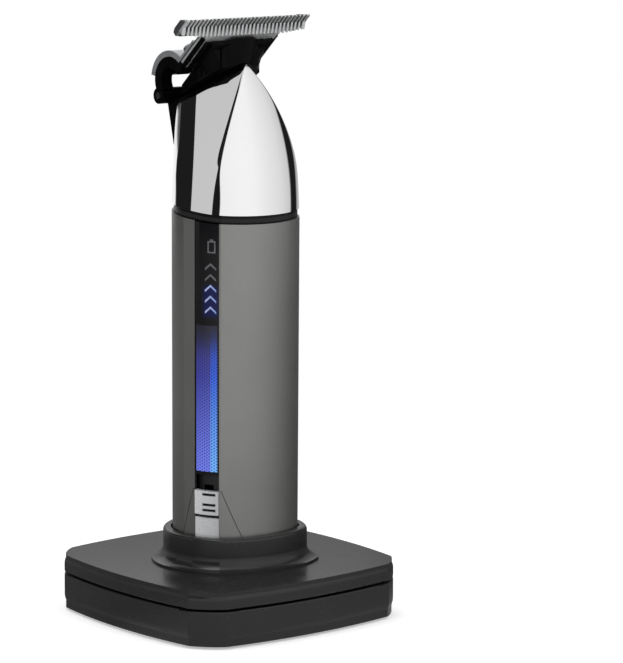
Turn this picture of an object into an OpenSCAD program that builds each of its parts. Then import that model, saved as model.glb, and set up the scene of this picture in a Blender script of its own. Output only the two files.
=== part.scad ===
// Cordless beard trimmer standing in its charging dock.
// Millimetres, +Z up. The origin is the centre of the dock's footprint on the table.
// X runs along the blade, -Y is the front face of the trimmer, +Y its back with the blade hinge.

/* [Dock] */
// side to side width of the dock
dock_w = 79; // [72:1:90]
// radius of the gently bowed sides
dock_side_r = 170; // [120:5:300]
// corner to corner width of the dock
dock_diag = 95; // [93:0.5:97]
// corner radius in plan
dock_corner_r = 22; // [20:0.5:25]
// height of the flat top face
dock_h = 16.2; // [14:0.2:20]
// height of the parting line between the two shells
seam_z = 11; // [9:0.5:12]
// width of the shadow gap at the parting line
seam_gap = 0.6; // [0.3:0.1:1]
// rounding of the upper edge
dock_top_r = 2.6; // [1:0.2:4]
// rounding of the lower edge
dock_low_r = 4; // [2:0.2:6]
// wall thickness of both shells
dock_wall = 2.2; // [1.6:0.1:3]
// gap under the lower shell left by the feet
foot_h = 0.8; // [0.4:0.1:2]
// radius of a foot
foot_r = 4.5; // [3:0.5:6]

/* [Collar] */
// height of the collar rim
collar_z = 25.6; // [22:0.2:32]
// free play between collar and trimmer
collar_play = 0.5; // [0.3:0.1:1]
// thickness of the collar at the rim
collar_wall = 2.2; // [1.6:0.1:3.5]
// radius of the flare at the collar's foot
flare_r = 3.4; // [2:0.2:5]
// height of the thin step under the flare
flare_step = 0.6; // [0.3:0.1:1.2]
// rounding of the rim
lip_r = 1; // [0.5:0.1:1.1]

/* [Body] */
// distance of the trimmer axis in front of the dock centre
axis_offset = 4; // [0:0.5:8]
// height of the trimmer's foot above the table
seat_z = 8; // [7:0.5:10]
// distance of the round back's centre behind the axis
back_d = 1; // [0.5:0.1:1.5]
// radius of the bowed front face at the foot
front_r = 24.3; // [23:0.1:26]
// distance from axis to front face at the foot
front_d = 14.6; // [14:0.1:15.4]
// distance from axis to the side facets at the foot
side_d = 17.5; // [17:0.1:18]
// turn of the side facets from the front
side_turn = 82; // [78:1:88]
// growth of every face from foot to joint
taper = 0.2; // [0.1:0.05:0.6]
// height of the joint between body and nose
joint_z = 118; // [112:0.5:124]
// lean of the joint plane, rising to the back
joint_lean = 5; // [0:0.5:6]
// visible height of the joint ring
ring_h = 2.4; // [1.5:0.1:3.5]
// set back of the joint ring
ring_inset = 0.6; // [0.3:0.1:1]
// wall of the metal sleeve
sleeve_wall = 1.2; // [0.8:0.1:1.6]

/* [Nose] */
// height of the nose tip above the joint
nose_h = 40.6; // [36:0.2:46]
// distance of the nose tip in front of the axis
nose_tip_d = 3.4; // [2:0.2:5]
// lean of the nose's round back
nose_draft = 2.4; // [1:0.2:3]
// height below the joint where the nose's sides stand upright
arch_low = 8; // [6:0.5:10]
// slope of the open top towards the back
rim_drop = 31; // [26:1:36]
// wall of the nose
nose_wall = 1.4; // [1:0.1:2]

/* [Display] */
// distance of the display strip's middle from the front ridge
strip_shift = 1.3; // [0.5:0.1:2]
// width of the display strip
strip_w = 7.8; // [7:0.1:8.2]
// lower end of the window
window_z = 43.4; // [42.6:0.2:46]
// lower end of the light bar
bar_z = 44.4; // [44.2:0.2:50]
// length of the light bar
bar_l = 41.6; // [30:0.2:42]
// width of the light bar
bar_w = 6.7; // [5:0.1:6.9]
// height of the lowest chevron
chevron_z = 90; // [88:0.5:92]
// distance between chevrons
chevron_pitch = 3.05; // [2.6:0.05:3.3]
// width of a chevron
chevron_w = 3.4; // [2.4:0.1:4]
// rise of a chevron
chevron_h = 1.5; // [1:0.1:1.8]
// stroke of a chevron
chevron_s = 0.65; // [0.4:0.05:0.8]

/* [Slider] */
// lower end of the power slider
slider_z = 32; // [30:0.2:33]
// length of the power slider
slider_l = 6.8; // [6:0.1:7.4]
// travel of the power slider
slider_travel = 3.2; // [2:0.1:3.4]
// width of the line between slider and lower plate
slider_gap = 0.9; // [0.6:0.1:1.2]
// width of a finger groove
groove_w = 0.6; // [0.4:0.05:0.8]
// depth of a finger groove
groove_d = 0.45; // [0.2:0.05:0.6]

/* [Blade] */
// toothed width of the blade
blade_w = 43.7; // [40:0.1:46]
// lean of the blade below the horizontal
blade_lean = 42; // [40:1:44]
// distance of the teeth in front of the axis
tip_d = 5.2; // [4.8:0.1:5.6]
// height of the tooth tips above the nose tip
tip_rise = 12.4; // [12:0.1:13]
// number of gaps in the fixed blade
slot_n = 31; // [24:1:33]
// width of a gap in the fixed blade
slot_w = 0.7; // [0.5:0.05:0.8]
// depth of the gaps from the tooth tips
slot_s = 2.4; // [1.8:0.1:2.6]
// depth of the grooves that carry the gaps on down the bevel
rib_d = 0.35; // [0.2:0.05:0.4]
// number of gaps in the cutter
cut_n = 20; // [16:1:22]
// stroke of the cutter to each side
cut_stroke = 1.2; // [0.6:0.1:1.2]
// width of the blade's shank
shank_w = 26; // [25.5:0.5:28]
// width of the raised cover on the carrier
cover_w = 21; // [18:0.5:23]

/* [Hinge] */
// distance of the hinge pin behind the axis
hinge_d = 22; // [21.6:0.1:22.6]
// distance of the hinge pin below the nose tip
hinge_drop = 10.6; // [10:0.2:11.2]
// radius of the hinge pin
pin_r = 0.95; // [0.8:0.05:1.1]
// running clearance around the hinge pin
pin_play = 0.05; // [0.02:0.01:0.1]

/* [Drive] */
// radius of the battery cell
cell_r = 9; // [7:0.1:9.2]
// length of the battery cell
cell_l = 50; // [40:1:52]
// radius of the motor
motor_r = 7; // [6:0.1:7.2]
// length of the motor
motor_l = 28; // [22:1:29]
// distance of the motor axis behind the trimmer axis
motor_d = 8.9; // [8.5:0.1:9]
// throw of the eccentric drive pin
throw = 1.2; // [0.6:0.1:1.2]

/* [Hidden] */
$fn = 96;
reach = 80;
eps = 0.05;
axis_y = -axis_offset;
seam_lo = seam_z - seam_gap / 2;
seam_hi = seam_z + seam_gap / 2;
half_w = dock_w / 2;
side_c = dock_side_r - half_w;
corner_c = (dock_diag / 2 - dock_corner_r) * sqrt(0.5);
corner_box = dock_side_r * corner_c / norm([corner_c, side_c + corner_c]);
foot_xy = dock_diag * 0.284;
screw_xy = dock_diag * 0.221;
screw_r = 1.3;
boss_r = 3;
floor_z = foot_h + dock_wall;
ballast_t = 2.4;
socket_wall = 1.6;
socket_floor = 1.9;
socket_z = seat_z - eps;
board_t = 1.1;
pin_x = 5;
jack_z = 6.2;
jack_w = 8.4;
jack_l = 10;
jack_r = 2.75;

front_c = front_r - front_d;
back_over = 0.25;
body_r = side_d + cos(side_turn) * back_d + back_over;
lean = atan(taper / (joint_z - seat_z));
cap_h = 2;
sleeve_z = seat_z + cap_h;
cap_play = 0.1;
side_top = side_d + taper;
front_top = front_d + taper;
bow_drop = front_top - nose_tip_d;
bow_r = (bow_drop * bow_drop + nose_h * nose_h) / (2 * bow_drop);
tip_side = cos(side_turn) * nose_tip_d;
arch_in = side_top - tip_side;
arch_top = nose_h + arch_low;
arch_mid = (arch_top * arch_top - arch_low * arch_low - arch_in * arch_in) / (2 * arch_in);
arch_r = norm([arch_top, arch_mid]);
arch_c = arch_mid - tip_side;
nose_tip_z = joint_z + nose_h;
tip_cut = 0.35;
tip_z = nose_tip_z + tip_rise;

ridge_turn = side_turn - acos((side_d + cos(side_turn) * front_c) / front_r);
strip_turn = (side_turn + ridge_turn) / 2;
ridge_x = front_r * sin(strip_turn - ridge_turn) - front_c * sin(strip_turn);
strip_x = ridge_x - strip_shift;
strip_play = 0.1;
lens_t = 1.7;
lens_sink = 0.15;
inlay_t = 0.5;
inlay_d = lens_sink + inlay_t;
guide_t = 2.4;
board_q = 9.5;
led_t = 1;
apron_top = slider_z + slider_l + 0.2;
apron_play = 0.12;
apron_edge = 0.5;
apron_front = 0.37;
apron_side = 0.28;
plate_z = seat_z + cap_h + 2.5;
slider_t = 1.6;
slider_proud = 0.2;
bed_d = slider_t + 0.4;
bed_t = 1.3;
stem_w = 2.4;
stem_l = 3;

slot_pitch = (blade_w - slot_w) / (slot_n + 0.7);
blade_t = 0.5;
blade_under = 1.6;
bevel_s = 2.8;
bevel_e = 5.2;
wing_s = bevel_e - 0.6;
shank_s = bevel_e + 0.3;
shank_e = 19;
cutter_t0 = blade_t + eps;
cutter_t1 = 1.75;
cutter_w = blade_w - 2 * cut_stroke - 0.4;
cutter_e = 7.4;
fork_w = 10.4;
fork_gap = 2 * (throw + cut_stroke + 0.9 + 0.3);
fork_s = 12.5;
fork_e = 20.8;
spring_t0 = cutter_t1 + eps;
spring_t1 = 2.1;
back_t = 2.9;
leg_in = 7.6;
arm_w = shank_w - 3;
screw_x = 9.5;
screw_s = 17;
blade_screw_r = 1;
blade_head_r = 1.9;
cover_s0 = 7.3;
cover_s1 = 17;
base_t = 2.4;
cover_t = 3.4;
drive_r = 0.9;
window_w = 2 * (throw + drive_r + 1.6);
neck_w = 13;
cheek_w = 20;
neck_slot = 9;
neck_y0 = -1;
neck_y1 = 4.2;
cheek_y = 3;
neck_y2 = 13;
neck_gap = 0.45;
hinge_z = nose_tip_z - hinge_drop;
arm_y = hinge_d - 5.25;
arm_z = hinge_z + 4.6;
arm_r0 = 4;
arm_r1 = 6.85;
band_r0 = 6.9;
band_r1 = 8.6;
knuckle_r = 2.3;
knuckle_play = 0.4;

motor_z = joint_z - 8;
shaft_r = 1;
disc_z = motor_z + motor_l + 3;
disc_h = 3;
disc_r = 3;
drive_top = hinge_z + 11;
cell_z = seat_z + 10;
cell_x = 1.5;
cell_y = 2;

function rise(z) = taper * (z - seat_z) / (joint_z - seat_z);
function rim_z(y) = nose_tip_z - tip_cut - tan(rim_drop) * (y + nose_tip_d);
function plane_s(y, t) = (y + tip_d - t * sin(blade_lean)) / cos(blade_lean);
function plane_z(y, t) = tip_z - plane_s(y, t) * sin(blade_lean) + t * cos(blade_lean);

// profile of a plate rim with rounded lower and upper edges
module rim_profile(r, z0, z1, lo, hi) {
    translate([0, z0 + lo]) square([r, z1 - z0 - lo - hi]);
    translate([0, z0]) square([r - lo, z1 - z0]);
    translate([0, z0]) square([r - hi, z1 - z0]);
    translate([r - lo, z0 + lo]) circle(r = lo);
    translate([r - hi, z1 - hi]) circle(r = hi);
}

// rounded square plate with bowed sides, offset by grow
module dock_slab(grow, z0, z1, lo, hi) {
    difference() {
        intersection_for (k = [0:3]) rotate([0, 0, 90 * k])
            translate([0, side_c, 0])
                rotate_extrude() rim_profile(dock_side_r + grow, z0, z1, lo, hi);
        for (k = [0:3]) rotate([0, 0, 90 * k]) difference() {
            corner_block(z0, z1);
            translate([corner_c, -corner_c, 0]) rotate_extrude() {
                rim_profile(dock_corner_r + grow, z0, z1, lo, hi);
                translate([0, z0 - 5]) square([dock_corner_r + grow - max(lo, hi), z1 - z0 + 10]);
            }
        }
    }
}

// plain plate of the same outline
module dock_prism(grow, z0, z1) {
    difference() {
        intersection_for (k = [0:3]) rotate([0, 0, 90 * k])
            translate([0, side_c, z0]) cylinder(h = z1 - z0, r = dock_side_r + grow);
        for (k = [0:3]) rotate([0, 0, 90 * k]) difference() {
            corner_block(z0, z1);
            translate([corner_c, -corner_c, z0 - 5])
                cylinder(h = z1 - z0 + 10, r = dock_corner_r + grow);
        }
    }
}

module corner_block(z0, z1) {
    translate([corner_box, -corner_box - half_w, z0 - 3]) cube([half_w, half_w, z1 - z0 + 6]);
}

// local frame of a side facet: -Y points out of the facet
module side_frame(s) {
    translate([0, axis_y, seat_z])
        rotate([0, 0, s * side_turn])
            rotate([lean, 0, 0])
                translate([0, 0, -seat_z])
                    children();
}

// body form between two heights, offset by grow
module body_form(z0, z1, grow) {
    intersection() {
        translate([0, axis_y + back_d, z0])
            cylinder(h = z1 - z0, r1 = body_r + rise(z0) + grow, r2 = body_r + rise(z1) + grow);
        translate([0, axis_y + front_c, z0])
            cylinder(h = z1 - z0, r1 = front_r + rise(z0) + grow, r2 = front_r + rise(z1) + grow);
        for_side(z0, z1, grow, -1);
        for_side(z0, z1, grow, 1);
    }
}

module for_side(z0, z1, grow, s) {
    side_frame(s)
        translate([-reach, -side_d - grow, z0 - 2])
            cube([2 * reach, 2 * reach, z1 - z0 + 4]);
}

module above_joint(dz) {
    translate([0, axis_y, joint_z + dz])
        rotate([joint_lean, 0, 0])
            translate([-reach, -reach, 0]) cube([2 * reach, 2 * reach, 2 * reach]);
}

module below_joint(dz) {
    translate([0, axis_y, joint_z + dz])
        rotate([joint_lean, 0, 0])
            translate([-reach, -reach, -3 * reach]) cube([2 * reach, 2 * reach, 3 * reach]);
}

// pointed nose form: round back, bowed front, two arched sides
module nose_form(grow) {
    over = 9;
    back_r = body_r + taper + grow;
    intersection() {
        translate([0, axis_y + back_d, joint_z - over])
            cylinder(h = nose_h + 2 * over,
                     r1 = back_r + over * tan(nose_draft),
                     r2 = back_r - (nose_h + over) * tan(nose_draft));
        translate([0, axis_y + front_c, joint_z])
            rotate_extrude($fn = 180)
                intersection() {
                    translate([front_r + taper - bow_r, 0]) circle(r = bow_r + grow);
                    translate([0, -over]) square([reach, nose_h + 2 * over]);
                }
        intersection_for (s = [-1, 1])
            translate([0, axis_y, joint_z - arch_low])
                rotate([0, 0, s * side_turn])
                    translate([0, arch_c, 0])
                        rotate([0, 90, 0])
                            cylinder(h = 2 * reach, r = arch_r + grow, center = true, $fn = 180);
    }
}

module over_rim(dz) {
    translate([0, axis_y, rim_z(0) + dz])
        rotate([-rim_drop, 0, 0])
            translate([-reach, -reach, 0]) cube([2 * reach, 2 * reach, reach]);
}

// prism along X, drawn as (distance behind the axis, height)
module yz_prism(w) {
    translate([0, axis_y, 0])
        rotate([90, 0, 90]) linear_extrude(height = w, center = true) children();
}

// blade frame: origin at the tooth tips, +Y down the blade, +Z out of its inner face
module blade_frame() {
    translate([0, axis_y - tip_d, tip_z]) rotate([-blade_lean, 0, 0]) children();
}

module blade_prism(w) {
    rotate([90, 0, 90]) linear_extrude(height = w, center = true) children();
}

module blade_box(w, s0, s1, t0, t1) {
    translate([-w / 2, s0, t0]) cube([w, s1 - s0, t1 - t0]);
}

// a box left and one right of the middle, between two distances from it
module blade_pair(x0, x1, s0, s1, t0, t1) {
    for (s = [0, 1]) mirror([s, 0, 0])
        translate([x0, s0, t0]) cube([x1 - x0, s1 - s0, t1 - t0]);
}

// local frame of the display strip: -Y points out of the front left ridge
module strip_frame() {
    translate([0, axis_y, 0]) rotate([0, 0, -strip_turn]) children();
}

// box behind the strip: across, out from the axis, up
module strip_box(w, q0, q1, z0, z1) {
    strip_frame() translate([strip_x - w / 2, -q1, z0]) cube([w, q1 - q0, z1 - z0]);
}

module strip_slot() {
    strip_box(strip_w, 0, reach, sleeve_z + 2.4, joint_z + 20);
}

// prism out through the strip, drawn as (across, height)
module strip_prism() {
    strip_frame() rotate([90, 0, 0]) linear_extrude(height = reach) children();
}

// body skin between two depths under a pattern drawn on the strip
module skin_print(d0, d1, z0, z1) {
    intersection() {
        difference() {
            body_form(z0, z1, -d0);
            body_form(z0 - 1, z1 + 1, -d1);
        }
        strip_prism() children();
    }
}

module skin_box(x, w, d0, d1, z0, z1) {
    skin_print(d0, d1, z0 - 1, z1 + 1) translate([x - w / 2, z0]) square([w, z1 - z0]);
}

// region taken by the trim panel beside the slider
module apron_region(play) {
    top = apron_top + play;
    low = sleeve_z - 1;
    side = strip_w / 2 + apron_edge + play;
    strip_prism() polygon([
        [strip_x - side, top],
        [strip_x + side, top],
        [strip_x + side + (top - low) * apron_front, low],
        [strip_x - side - (top - low) * apron_side, low]
    ]);
}

// collar wall in section, standing out from a body face at distance r, its core longer by over
module collar_profile(r, over) {
    rim = r + collar_play + collar_wall;
    translate([0, dock_h - 1 - over]) square([rim - lip_r, collar_z - dock_h + 1 + 2 * over]);
    translate([0, dock_h - 1]) square([rim, collar_z - dock_h + 1 - lip_r]);
    translate([rim - lip_r, collar_z - lip_r]) circle(r = lip_r);
    difference() {
        translate([0, dock_h - 1 - over]) square([rim + flare_r, 1 + over + flare_step + flare_r]);
        translate([rim + flare_r, dock_h + flare_step + flare_r]) circle(r = flare_r);
    }
}

// what lies outside the collar wall in section
module collar_outside(r) {
    difference() {
        translate([r / 2, dock_h - 3]) square([reach, collar_z - dock_h + 6]);
        collar_profile(r, 5);
    }
}

module collar_form() {
    r = rise(collar_z);
    difference() {
        difference() {
            translate([0, axis_y + back_d, 0]) rotate_extrude() collar_profile(body_r + r, 0);
            for (s = [-1, 1])
                translate([0, axis_y, 0])
                    rotate([0, 0, s * side_turn])
                        rotate([90, 0, -90])
                            linear_extrude(height = 2 * reach, center = true)
                                collar_outside(side_d + r);
        }
        translate([0, axis_y + front_c, 0]) rotate_extrude($fn = 180) collar_outside(front_r + r);
    }
}

module dock_screw_spots() {
    for (x = [-1, 1], y = [-1, 1]) translate([x * screw_xy, y * screw_xy, 0]) children();
}

module dock_foot_spots() {
    for (x = [-1, 1], y = [-1, 1]) translate([x * foot_xy, y * foot_xy, 0]) children();
}

module jack_axis() {
    translate([0, half_w - dock_wall - jack_l, jack_z]) rotate([-90, 0, 0]) children();
}

module dock_lower() {
    color("#3b3c3e")
    difference() {
        union() {
            difference() {
                dock_slab(0, foot_h, seam_lo, dock_low_r, 0.4);
                dock_prism(-dock_wall, floor_z, seam_z + 1);
            }
            dock_screw_spots() translate([0, 0, floor_z - 0.5])
                cylinder(h = seam_lo - floor_z + 0.5, r = boss_r);
        }
        dock_screw_spots() cylinder(h = 2 * seam_z, r = screw_r + 0.1);
        dock_screw_spots() translate([0, 0, foot_h - 1]) cylinder(h = 3, r = 2 * screw_r + 0.2);
        dock_foot_spots() translate([0, 0, foot_h - 1]) cylinder(h = 1.8, r = foot_r);
        jack_axis() cylinder(h = 3 * jack_l, r = jack_r + 1.1);
    }
}

module dock_upper() {
    well_z = socket_z - socket_floor;
    grip = collar_play + socket_wall;
    color("#3b3c3e")
    difference() {
        union() {
            difference() {
                dock_slab(0, seam_hi, dock_h, 0.4, dock_top_r);
                dock_prism(-dock_wall, seam_z - 1, dock_h - dock_wall);
            }
            collar_form();
            body_form(well_z, dock_h, grip);
            dock_screw_spots() translate([0, 0, seam_hi])
                cylinder(h = dock_h - dock_wall - seam_hi + 0.5, r = boss_r);
        }
        body_form(socket_z, collar_z + 1, collar_play);
        dock_screw_spots() translate([0, 0, seam_hi - 1]) cylinder(h = 3.6, r = screw_r);
        for (x = [-1, 1]) translate([x * pin_x, axis_y, 0]) cylinder(h = seat_z + 1, r = 1.3);
    }
}

module dock_feet() {
    color("#1a1a1b")
    dock_foot_spots() cylinder(h = foot_h + 0.8, r = foot_r - eps);
}

module dock_screws() {
    color("#8d9094")
    dock_screw_spots() difference() {
        union() {
            translate([0, 0, foot_h + 2 - 1.3]) cylinder(h = 1.3, r = 2 * screw_r);
            translate([0, 0, foot_h + 1.6]) cylinder(h = seam_hi - foot_h + 0.6, r = screw_r);
        }
        translate([0, 0, foot_h]) for (a = [0, 90]) rotate([0, 0, a])
            translate([-1.6, -0.3, 0]) cube([3.2, 0.6, 1.3]);
    }
}

module ballast() {
    color("#6a6c6f")
    difference() {
        dock_prism(-dock_wall - 1, floor_z, floor_z + ballast_t);
        dock_screw_spots() cylinder(h = 2 * seam_z, r = boss_r + 0.3);
        translate([0, axis_y, 0]) cylinder(h = 2 * seam_z, r = 11);
        translate([-jack_w / 2 - 0.4, half_w - dock_wall - jack_l - 0.4, 0])
            cube([jack_w + 0.8, 2 * jack_l, 2 * seam_z]);
    }
}

module charge_board() {
    color("#1f5a38")
    translate([0, axis_y, socket_z - socket_floor - board_t])
        difference() {
            cylinder(h = board_t, r = 9);
            for (x = [-1, 1]) translate([x * pin_x, 0, -1]) cylinder(h = 4, r = 1.1);
        }
}

module charge_pins() {
    color("#c9a45a")
    for (x = [-1, 1])
        translate([x * pin_x, axis_y, socket_z - socket_floor - board_t - 0.8]) {
            cylinder(h = board_t + socket_floor + 0.75, r = 1.1);
            cylinder(h = 0.8, r = 1.7);
        }
}

module power_inlet() {
    color("#202123")
    difference() {
        translate([-jack_w / 2, half_w - dock_wall - jack_l, floor_z])
            cube([jack_w, jack_l - 0.6, 7.2]);
        jack_axis() translate([0, 0, 1.2]) cylinder(h = 2 * jack_l, r = jack_r);
    }
    color("#c9a45a")
    jack_axis() translate([0, 0, 1]) cylinder(h = jack_l - 2.6, r = 0.95);
}

module end_cap() {
    color("#232426")
    difference() {
        union() {
            body_form(seat_z, sleeve_z, -0.15);
            body_form(seat_z, sleeve_z + 2, -sleeve_wall - cap_play);
        }
        body_form(sleeve_z, sleeve_z + 5, -sleeve_wall - 2);
        for (x = [-1, 1]) translate([x * pin_x, axis_y, seat_z - 1]) cylinder(h = 1.6, r = 2.4);
    }
}

module contact_plates() {
    color("#d0b06a")
    for (x = [-1, 1]) translate([x * pin_x, axis_y, seat_z]) cylinder(h = 0.6, r = 2.35);
}

module sleeve() {
    color("#77787a")
    difference() {
        intersection() {
            body_form(sleeve_z, joint_z + 4, 0);
            below_joint(-ring_h);
        }
        body_form(sleeve_z - 2, joint_z + 6, -sleeve_wall);
        strip_slot();
        apron_region(apron_play);
    }
}

module apron() {
    color("#77787a")
    difference() {
        intersection() {
            body_form(sleeve_z, apron_top + 2, 0);
            apron_region(0);
        }
        body_form(sleeve_z - 2, apron_top + 4, -sleeve_wall);
        strip_slot();
    }
}

module shoe_plate() {
    color("#d8d9da")
    skin_box(strip_x, strip_w - 2 * strip_play, lens_sink, slider_t, plate_z, slider_z - slider_gap);
}

module chassis() {
    skin = sleeve_wall + 0.2;
    shelf = skin + 0.6;
    color("#2b2c2e")
    difference() {
        union() {
            difference() {
                body_form(cell_z - 4, motor_z - 0.5, -skin);
                body_form(cell_z - 6, motor_z + 2, -skin - 1.6);
                translate([-reach, axis_y + 3 - 2 * reach, 0]) cube([2 * reach, 2 * reach, 2 * reach]);
            }
            difference() {
                union() {
                    body_form(cell_z - 2, cell_z, -shelf);
                    body_form(cell_z + cell_l, cell_z + cell_l + 2, -shelf);
                    body_form(motor_z - 2.5, motor_z, -shelf);
                }
                strip_frame() translate([-reach, -reach - board_q + 0.4, 0])
                    cube([2 * reach, reach, 2 * reach]);
            }
        }
        translate([0, axis_y + motor_d, motor_z - 6]) cylinder(h = 4, r = 3);
        translate([0, axis_y, cell_z + cell_l - 1]) cylinder(h = 4, r = 4);
    }
}

module battery() {
    color("#3f6f8f")
    translate([cell_x, axis_y + cell_y, cell_z]) {
        cylinder(h = cell_l - 1, r = cell_r);
        cylinder(h = cell_l, r = 3);
    }
}

module main_board() {
    color("#1f5a38")
    strip_box(strip_w + 1, board_q, board_q + board_t, cell_z + 4, motor_z);
}

module led_row() {
    pitch = bar_l / 8;
    color("#e8e2b8")
    for (i = [0:10])
        strip_box(1.8, board_q + board_t, board_q + board_t + led_t,
                  bar_z + (i + 0.35) * pitch, bar_z + (i + 0.65) * pitch);
}

module light_guide() {
    d = lens_t + 0.1;
    color("#c9d4e6")
    skin_box(strip_x, strip_w - 1.2, d, d + guide_t, bar_z + 0.4, bar_z + bar_l - 0.4);
}

module window() {
    color("#0b0b0d")
    difference() {
        intersection() {
            skin_box(strip_x, strip_w - 2 * strip_play, lens_sink, lens_t, window_z, joint_z + 4);
            below_joint(-ring_h - 0.2);
        }
        light_bar_form(-1);
        marks(-1) {
            chevron_marks(0, 4);
            battery_mark();
        }
    }
}

// the inlays start at depth d below the body's surface
module light_bar_form(d) {
    skin_box(strip_x, bar_w, d, inlay_d, bar_z, bar_z + bar_l);
}

module light_bar() {
    color("#2a4cff")
    light_bar_form(lens_sink);
}

module marks(d) {
    skin_print(d, inlay_d, chevron_z - chevron_pitch, chevron_z + 8 * chevron_pitch) children();
}

// chevrons number a to b, the lowest is number 0
module chevron_marks(a, b) {
    w = chevron_w / 2;
    for (i = [a:b])
        translate([ridge_x, chevron_z + i * chevron_pitch])
            polygon([
                [-w, 0],
                [0, chevron_h],
                [w, 0],
                [w, -chevron_s],
                [0, chevron_h - chevron_s],
                [-w, -chevron_s]
            ]);
}

module battery_mark() {
    translate([ridge_x + 0.3, chevron_z + 5.4 * chevron_pitch]) difference() {
        union() {
            translate([-1.2, 0]) square([2.4, 3.4]);
            translate([-0.5, 3]) square([1, 0.9]);
        }
        translate([-0.8, 0.4]) square([1.6, 2.6]);
    }
}

module chevrons_lit() {
    color("#cfe0ff")
    marks(lens_sink) chevron_marks(0, 2);
}

module chevrons_dim() {
    color("#7d7f84")
    marks(lens_sink) {
        chevron_marks(3, 4);
        battery_mark();
    }
}

module switch_bed() {
    color("#141416")
    difference() {
        skin_box(strip_x, strip_w - 2 * strip_play, bed_d, bed_d + bed_t,
                 slider_z - slider_gap, window_z - 0.1);
        strip_box(stem_w + 0.6, 0, reach, slider_z + 1.5, slider_z + 2.1 + stem_l + slider_travel);
    }
}

module switch_block() {
    color("#3a3b3d")
    strip_box(5, board_q + board_t, board_q + board_t + 1, slider_z, slider_z + 10);
}

module slider() {
    width = strip_w - 2 * strip_play;
    foot_d = bed_d + bed_t + 0.3;
    color("#dcddde")
    difference() {
        union() {
            skin_box(strip_x, width, -slider_proud, slider_t, slider_z, slider_z + slider_l);
            skin_box(strip_x, stem_w, slider_t - 0.4, foot_d + 0.3,
                     slider_z + 1.8, slider_z + 1.8 + stem_l);
            skin_box(strip_x, 4.2, foot_d, foot_d + 0.5, slider_z + 1.2, slider_z + 2.4 + stem_l);
        }
        for (k = [0.2, 0.43, 0.86])
            skin_box(strip_x + 0.12 * width, 0.53 * width, -reach / 2, groove_d - slider_proud,
                     slider_z + k * slider_l - groove_w / 2, slider_z + k * slider_l + groove_w / 2);
    }
}

module joint_ring() {
    inner = sleeve_wall + 2.6;
    color("#18191b")
    difference() {
        union() {
            intersection() {
                body_form(joint_z - 10, joint_z + 6, -ring_inset);
                above_joint(-ring_h + 0.15);
                below_joint(-0.15);
            }
            intersection() {
                body_form(joint_z - 10, joint_z + 6, -sleeve_wall - 0.1);
                above_joint(-ring_h - 3);
                below_joint(-0.15);
            }
        }
        body_form(joint_z - 12, joint_z + 8, -inner);
        translate([0, axis_y + motor_d, motor_z]) cylinder(h = motor_l, r = motor_r + 0.3);
        intersection() {
            strip_slot();
            below_joint(-ring_h);
        }
    }
}

module nose() {
    color("#e4e5e7")
    difference() {
        intersection() {
            nose_form(0);
            above_joint(0);
        }
        nose_form(-nose_wall);
        over_rim(0);
    }
}

module motor() {
    color("#9a9da1")
    translate([0, axis_y + motor_d, motor_z]) {
        cylinder(h = motor_l, r = motor_r);
        translate([0, 0, motor_l]) cylinder(h = 1, r = 2.6);
    }
}

module crank() {
    color("#c4c6c9")
    translate([0, axis_y + motor_d, 0]) {
        translate([0, 0, motor_z + motor_l + 1 + eps])
            cylinder(h = disc_z - motor_z - motor_l - 1 + 0.5, r = shaft_r);
        translate([0, 0, disc_z]) cylinder(h = disc_h, r = disc_r);
        translate([0, -throw, disc_z]) cylinder(h = drive_top - disc_z, r = drive_r);
    }
}

module hinge_bracket() {
    back = back_d + body_r + taper;
    w = 2 * (leg_in - knuckle_play);
    color("#1b1c1e")
    difference() {
        union() {
            yz_prism(w) translate([hinge_d, hinge_z]) circle(r = knuckle_r);
            yz_prism(w) polygon([
                [hinge_d - 0.8 * knuckle_r, hinge_z],
                [hinge_d + 0.8 * knuckle_r, hinge_z],
                [back + 1.4, hinge_z - 14],
                [back - 4, hinge_z - 14],
                [back - 4, hinge_z - 6]
            ]);
        }
        nose_form(0);
        translate([0, axis_y + hinge_d, hinge_z])
            rotate([0, 90, 0]) cylinder(h = 2 * arm_w, r = pin_r, center = true);
    }
}

module hinge_pin() {
    color("#b9bcc0")
    translate([0, axis_y + hinge_d, hinge_z])
        rotate([0, 90, 0]) cylinder(h = arm_w + 0.4, r = pin_r, center = true);
}

module drive_window(s0, s1) {
    blade_box(window_w, s0, s1, -10, 10);
}

module blade_screw_spots() {
    for (s = [-1, 1]) translate([s * screw_x, screw_s, 0]) children();
}

module carrier() {
    color("#161719")
    difference() {
        union() {
            blade_frame() {
                blade_box(shank_w - 2, cover_s0 + 0.3, shank_e, -base_t, -blade_under);
                difference() {
                    blade_box(cover_w, cover_s0, cover_s1, -cover_t, -base_t + 0.1);
                    blade_box(cover_w - 5, cover_s0 + 3, cover_s1 - 1.2, -cover_t - 1, -cover_t + 0.7);
                }
                blade_screw_spots() translate([0, 0, -cover_t]) cylinder(h = 1.2, r = 2.2);
            }
            neck(neck_w, neck_y0, neck_y1);
            difference() {
                neck(cheek_w, cheek_y, neck_y2);
                neck(neck_slot, neck_y0, neck_y2 + 5);
            }
        }
        blade_frame() {
            drive_window(14, shank_e + 5);
            blade_screw_spots() translate([0, 0, -cover_t + 0.6])
                cylinder(h = cover_t + 1, r = blade_screw_r);
        }
    }
}

// neck between the nose's rim and the carrier's base, between two distances behind the axis
module neck(w, y0, y1) {
    yz_prism(w) polygon([
        [y0, rim_z(y0) + neck_gap],
        [y1, rim_z(y1) + neck_gap],
        [y1, plane_z(y1, -base_t + 0.2)],
        [y0, plane_z(y0, -base_t + 0.2)]
    ]);
}

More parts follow.
